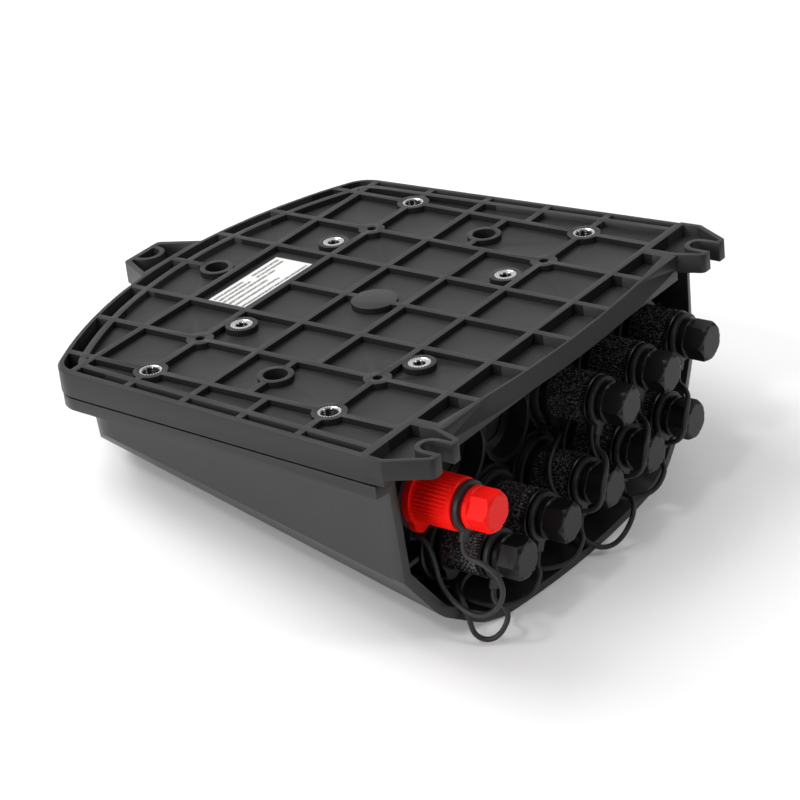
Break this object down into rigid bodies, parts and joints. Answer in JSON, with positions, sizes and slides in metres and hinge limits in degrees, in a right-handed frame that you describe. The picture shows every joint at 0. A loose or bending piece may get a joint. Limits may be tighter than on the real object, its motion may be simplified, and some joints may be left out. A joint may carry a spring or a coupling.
{
  "type": "fibre optic end box",
  "caption": "Wedge-shaped wall box for optical fibre, ribbed back with threaded inserts, bowed shroud over tethered, capped drop ports.",
  "frame": {"origin": "centre of the four wall inserts, on the mounting face", "axes": "+Z out of the mounting face, +X from the hanging ear towards the ports, +Y across the box"},
  "size_m": [0.2185, 0.2114, 0.0879],
  "materials": {
    "case_plastic": "satin, finely textured moulding",
    "fitting_plastic": "satin",
    "red_plastic": "semi-gloss",
    "tether_rubber": "matte",
    "seal_rubber": "matte",
    "plated_metal": "nickel plated, bright",
    "screw_steel": "zinc plated",
    "tray_plastic": "satin",
    "splitter_plastic": "satin",
    "label": "satin film, bare"
  },
  "bodies": {
    "box": {"back_plate": "case_plastic", "front_cover": "case_plastic", "cover_gasket": "seal_rubber", "label": "label", "wall_inserts": "plated_metal", "frame_inserts": "plated_metal", "cover_screws": "screw_steel", "splice_tray": "tray_plastic", "tray_screws": "screw_steel", "splitter": "splitter_plastic", "lock_nuts": "fitting_plastic", "tether_bases": "tether_rubber", "adapter_1": "red_plastic", "port_seal_1": "seal_rubber", "tether_strap_1": "tether_rubber", "adapter_2": "fitting_plastic", "port_seal_2": "seal_rubber", "tether_strap_2": "tether_rubber", "adapter_3": "fitting_plastic", "port_seal_3": "seal_rubber", "tether_strap_3": "tether_rubber", "adapter_4": "fitting_plastic", "port_seal_4": "seal_rubber", "tether_strap_4": "tether_rubber", "adapter_5": "fitting_plastic", "port_seal_5": "seal_rubber", "tether_strap_5": "tether_rubber", "adapter_6": "fitting_plastic", "port_seal_6": "seal_rubber", "tether_strap_6": "tether_rubber", "adapter_7": "fitting_plastic", "port_seal_7": "seal_rubber", "tether_strap_7": "tether_rubber", "adapter_8": "fitting_plastic", "port_seal_8": "seal_rubber", "tether_strap_8": "tether_rubber", "adapter_9": "fitting_plastic", "port_seal_9": "seal_rubber", "tether_strap_9": "tether_rubber"},
    "ring_1": {"tether_ring_1": "tether_rubber"},
    "plug_1": {"dust_plug_1": "red_plastic"},
    "ring_2": {"tether_ring_2": "tether_rubber"},
    "plug_2": {"dust_plug_2": "fitting_plastic"},
    "ring_3": {"tether_ring_3": "tether_rubber"},
    "plug_3": {"dust_plug_3": "fitting_plastic"},
    "ring_4": {"tether_ring_4": "tether_rubber"},
    "plug_4": {"dust_plug_4": "fitting_plastic"},
    "ring_5": {"tether_ring_5": "tether_rubber"},
    "plug_5": {"dust_plug_5": "fitting_plastic"},
    "ring_6": {"tether_ring_6": "tether_rubber"},
    "plug_6": {"dust_plug_6": "fitting_plastic"},
    "ring_7": {"tether_ring_7": "tether_rubber"},
    "plug_7": {"dust_plug_7": "fitting_plastic"},
    "ring_8": {"tether_ring_8": "tether_rubber"},
    "plug_8": {"dust_plug_8": "fitting_plastic"},
    "ring_9": {"tether_ring_9": "tether_rubber"},
    "plug_9": {"dust_plug_9": "fitting_plastic"}
  },
  "joints": [
    {"name": "plug_slide_1", "type": "slide", "parent": "box", "child": "ring_1", "axis": [1, 0, 0], "range_m": [0, 0.016]},
    {"name": "plug_turn_1", "type": "hinge", "parent": "ring_1", "child": "plug_1", "pos_m": [0.0888, -0.0725, -0.031], "axis": [1, 0, 0], "range_deg": [0, 90]},
    {"name": "plug_slide_2", "type": "slide", "parent": "box", "child": "ring_2", "axis": [1, 0, 0], "range_m": [0, 0.016]},
    {"name": "plug_turn_2", "type": "hinge", "parent": "ring_2", "child": "plug_2", "pos_m": [0.0888, -0.058, -0.0573], "axis": [1, 0, 0], "range_deg": [0, 90]},
    {"name": "plug_slide_3", "type": "slide", "parent": "box", "child": "ring_3", "axis": [1, 0, 0], "range_m": [0, 0.016]},
    {"name": "plug_turn_3", "type": "hinge", "parent": "ring_3", "child": "plug_3", "pos_m": [0.0888, 0.0725, -0.031], "axis": [1, 0, 0], "range_deg": [0, 90]},
    {"name": "plug_slide_4", "type": "slide", "parent": "box", "child": "ring_4", "axis": [1, 0, 0], "range_m": [0, 0.016]},
    {"name": "plug_turn_4", "type": "hinge", "parent": "ring_4", "child": "plug_4", "pos_m": [0.0888, 0.0435, -0.031], "axis": [1, 0, 0], "range_deg": [0, 90]},
    {"name": "plug_slide_5", "type": "slide", "parent": "box", "child": "ring_5", "axis": [1, 0, 0], "range_m": [0, 0.016]},
    {"name": "plug_turn_5", "type": "hinge", "parent": "ring_5", "child": "plug_5", "pos_m": [0.0888, 0.0145, -0.031], "axis": [1, 0, 0], "range_deg": [0, 90]},
    {"name": "plug_slide_6", "type": "slide", "parent": "box", "child": "ring_6", "axis": [1, 0, 0], "range_m": [0, 0.016]},
    {"name": "plug_turn_6", "type": "hinge", "parent": "ring_6", "child": "plug_6", "pos_m": [0.0888, 0.058, -0.0573], "axis": [1, 0, 0], "range_deg": [0, 90]},
    {"name": "plug_slide_7", "type": "slide", "parent": "box", "child": "ring_7", "axis": [1, 0, 0], "range_m": [0, 0.016]},
    {"name": "plug_turn_7", "type": "hinge", "parent": "ring_7", "child": "plug_7", "pos_m": [0.0888, 0.029, -0.0573], "axis": [1, 0, 0], "range_deg": [0, 90]},
    {"name": "plug_slide_8", "type": "slide", "parent": "box", "child": "ring_8", "axis": [1, 0, 0], "range_m": [0, 0.016]},
    {"name": "plug_turn_8", "type": "hinge", "parent": "ring_8", "child": "plug_8", "pos_m": [0.0888, 0, -0.0573], "axis": [1, 0, 0], "range_deg": [0, 90]},
    {"name": "plug_slide_9", "type": "slide", "parent": "box", "child": "ring_9", "axis": [1, 0, 0], "range_m": [0, 0.016]},
    {"name": "plug_turn_9", "type": "hinge", "parent": "ring_9", "child": "plug_9", "pos_m": [0.0888, -0.029, -0.0573], "axis": [1, 0, 0], "range_deg": [0, 90]}
  ]
}
